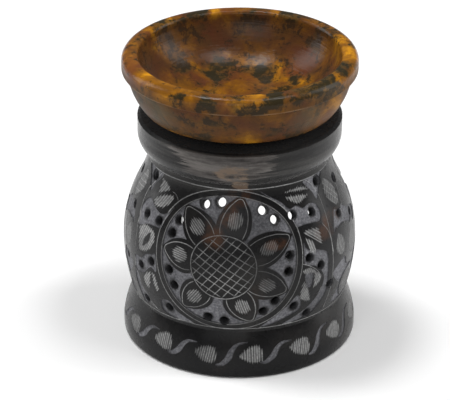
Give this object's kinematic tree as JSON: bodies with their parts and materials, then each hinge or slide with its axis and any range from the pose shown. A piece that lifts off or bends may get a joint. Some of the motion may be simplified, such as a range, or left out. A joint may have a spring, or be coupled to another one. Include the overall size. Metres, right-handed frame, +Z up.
{
  "type": "essential oil burner",
  "caption": "Carved dark stone oil burner: a turned, pierced body with a doorway for a tealight, and a lift-out mottled stone bowl that the flame warms.",
  "frame": {"origin": "centre of the flat base, on the surface it stands on", "axes": "+Z up along the turning axis, -Y out through the carved medallion, +Y out through the candle doorway"},
  "size_m": [0.085, 0.085, 0.1089],
  "materials": {
    "black_stone": "hand polished, with scraped and scratched carving",
    "ochre_stone": "satin polish, mottled ochre, brown and near black",
    "cup_foil": "thin drawn foil",
    "wax": "waxy",
    "sustainer_tin": "tinned sheet",
    "wick_cotton": "waxed braid"
  },
  "bodies": {
    "burner": {"burner_body": "black_stone"},
    "bowl": {"oil_bowl": "ochre_stone"},
    "tealight": {"tealight_cup": "cup_foil", "tealight_wax": "wax", "wick_sustainer": "sustainer_tin", "tealight_wick": "wick_cotton"}
  },
  "joints": [
    {"name": "bowl_lift", "type": "slide", "parent": "burner", "child": "bowl", "axis": [0, 0, 1], "range_m": [0, 0.04]},
    {"name": "tealight_slide", "type": "slide", "parent": "burner", "child": "tealight", "axis": [0, 1, 0], "range_m": [0, 0.07]}
  ]
}
